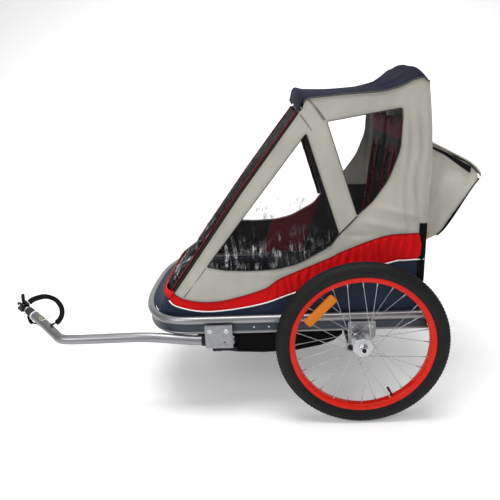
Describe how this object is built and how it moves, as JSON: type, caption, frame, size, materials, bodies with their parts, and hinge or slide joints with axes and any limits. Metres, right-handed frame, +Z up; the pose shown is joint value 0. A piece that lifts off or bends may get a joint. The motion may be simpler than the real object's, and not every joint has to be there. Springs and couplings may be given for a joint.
{
  "type": "child bicycle trailer",
  "caption": "Child bicycle trailer with a folding fabric cabin on a tube frame, quick-release spoked wheels, rear cargo bag, and a plug-in tow bar with an articulated hitch.",
  "frame": {"origin": "on the ground under the centre of the bounding box", "axes": "-X forward, towards the bicycle; +X rearward; -Y the trailer's left side, where the tow bar is; +Z up"},
  "size_m": [1.4645, 0.852, 1.0203],
  "materials": {
    "aluminium_tube": "satin",
    "zinc_steel": "satin",
    "navy_strip": "matte",
    "black_plastic": "matte",
    "elastomer": "ribbed, matte",
    "tyre_rubber": "matte",
    "red_rim": "gloss anodised red",
    "orange_reflector": "prismatic",
    "stone_fabric": "woven nylon",
    "navy_fabric": "woven nylon",
    "red_fabric": "woven nylon",
    "black_fabric": "woven nylon",
    "clear_vinyl": "clear, flexible"
  },
  "bodies": {
    "frame": {"upper_rail_left": "aluminium_tube", "upper_rail_right": "aluminium_tube", "front_bow_upper": "aluminium_tube", "lower_rail_left": "navy_strip", "lower_rail_right": "navy_strip", "front_bow_lower": "navy_strip", "rear_crossbar": "aluminium_tube", "front_floor_tube": "aluminium_tube", "rear_floor_tube": "aluminium_tube", "axle_cross_tube": "aluminium_tube", "axle_bracket_left": "zinc_steel", "axle_bracket_right": "zinc_steel", "axle_bolts_left": "zinc_steel", "axle_bolts_right": "zinc_steel", "tow_bracket": "zinc_steel", "tow_bracket_bolts": "zinc_steel", "tow_bush": "black_plastic", "cage_hinge_left": "zinc_steel", "cage_hinge_right": "zinc_steel", "floor_pan": "black_fabric", "seat_base": "red_fabric", "side_panel_left": "stone_fabric", "side_panel_right": "stone_fabric", "roof_panel": "navy_fabric", "front_cover": "black_fabric", "front_window": "clear_vinyl", "window_front_left": "clear_vinyl", "window_front_right": "clear_vinyl", "window_rear_left": "clear_vinyl", "window_rear_right": "clear_vinyl", "seat_back": "red_fabric", "flag_sleeve": "black_fabric"},
    "rear_hoop": {"rear_hoop": "aluminium_tube", "rear_panel": "stone_fabric", "cargo_bag": "stone_fabric"},
    "front_hoop": {"front_hoop": "aluminium_tube"},
    "bag_lid": {"bag_lid": "stone_fabric"},
    "axle_left": {"axle_pin_left": "zinc_steel"},
    "wheel_left": {"tyre_left": "tyre_rubber", "rim_left": "red_rim", "hub_and_spokes_left": "zinc_steel", "reflector_left": "orange_reflector"},
    "button_left": {"release_button_left": "zinc_steel"},
    "axle_right": {"axle_pin_right": "zinc_steel"},
    "wheel_right": {"tyre_right": "tyre_rubber", "rim_right": "red_rim", "hub_and_spokes_right": "zinc_steel", "reflector_right": "orange_reflector"},
    "button_right": {"release_button_right": "zinc_steel"},
    "tow_bar": {"tow_bar": "aluminium_tube", "hitch_sleeve": "elastomer", "safety_strap": "black_fabric"},
    "tow_latch": {"tow_latch": "black_plastic"},
    "hitch_knuckle": {"hitch_knuckle": "zinc_steel"},
    "hitch_head": {"hitch_head": "black_plastic"},
    "hitch_lever": {"hitch_lever": "black_plastic"},
    "hitch_pin": {"hitch_pin": "zinc_steel"},
    "pin_clip": {"pin_clip": "zinc_steel"}
  },
  "joints": [
    {"name": "cage_fold", "type": "hinge", "parent": "frame", "child": "rear_hoop", "pos_m": [0.5483, 0, 0.375], "axis": [0, -1, 0], "range_deg": [0, 88], "deforming": ["side_panel_left", "side_panel_right", "roof_panel", "front_cover", "front_window", "window_front_left", "window_front_right", "window_rear_left", "window_rear_right", "seat_back", "flag_sleeve"]},
    {"name": "front_hoop_fold", "type": "hinge", "parent": "frame", "child": "front_hoop", "pos_m": [0.4433, 0, 0.349], "axis": [0, -1, 0], "range_deg": [0, 70.15]},
    {"name": "bag_lid_hinge", "type": "hinge", "parent": "rear_hoop", "child": "bag_lid", "pos_m": [0.5848, 0, 0.8085], "axis": [0, -1, 0], "range_deg": [0, 95]},
    {"name": "wheel_release_left", "type": "slide", "parent": "frame", "child": "axle_left", "axis": [0, -1, 0], "range_m": [0, 0.075]},
    {"name": "wheel_spin_left", "type": "hinge", "parent": "axle_left", "child": "wheel_left", "pos_m": [0.3833, -0.38, 0.25], "axis": [0, -1, 0], "continuous": true},
    {"name": "button_press_left", "type": "slide", "parent": "axle_left", "child": "button_left", "axis": [0, 1, 0], "range_m": [0, 0.003], "stiffness_N_per_m": 500},
    {"name": "wheel_release_right", "type": "slide", "parent": "frame", "child": "axle_right", "axis": [0, 1, 0], "range_m": [0, 0.075]},
    {"name": "wheel_spin_right", "type": "hinge", "parent": "axle_right", "child": "wheel_right", "pos_m": [0.3833, 0.38, 0.25], "axis": [0, -1, 0], "continuous": true},
    {"name": "button_press_right", "type": "slide", "parent": "axle_right", "child": "button_right", "axis": [0, -1, 0], "range_m": [0, 0.003], "stiffness_N_per_m": 500},
    {"name": "tow_bar_release", "type": "slide", "parent": "frame", "child": "tow_bar", "axis": [-1, 0, 0], "range_m": [0, 0.105]},
    {"name": "tow_latch_pull", "type": "hinge", "parent": "frame", "child": "tow_latch", "pos_m": [0.0133, -0.3379, 0.23], "axis": [0, -1, 0], "range_deg": [0, 6], "stiffness_Nm_per_rad": 0.8},
    {"name": "hitch_yaw", "type": "hinge", "parent": "tow_bar", "child": "hitch_knuckle", "pos_m": [-0.6918, -0.18031, 0.308], "axis": [0.1681, -0.137, 0.9762], "range_deg": [-40, 40], "stiffness_Nm_per_rad": 1.5},
    {"name": "hitch_pitch", "type": "hinge", "parent": "hitch_knuckle", "child": "hitch_head", "pos_m": [-0.6918, -0.18031, 0.308], "axis": [-0.6318, -0.7751, 0], "range_deg": [-25, 25], "stiffness_Nm_per_rad": 1.5},
    {"name": "hitch_lever_turn", "type": "hinge", "parent": "hitch_head", "child": "hitch_lever", "pos_m": [-0.70637, -0.16844, 0.32395], "axis": [-0.6318, -0.7751, 0], "range_deg": [0, 85]},
    {"name": "hitch_pin_pull", "type": "slide", "parent": "tow_bar", "child": "hitch_pin", "axis": [0.1681, -0.137, 0.9762], "range_m": [0, 0.042]},
    {"name": "pin_clip_swing", "type": "hinge", "parent": "hitch_pin", "child": "pin_clip", "pos_m": [-0.6137, -0.24397, 0.30968], "axis": [-0.6318, -0.7751, 0], "range_deg": [0, 110]}
  ],
  "couplings": [
    {"joint": "front_hoop_fold", "follows": "cage_fold", "ratio": 0.7966}
  ]
}
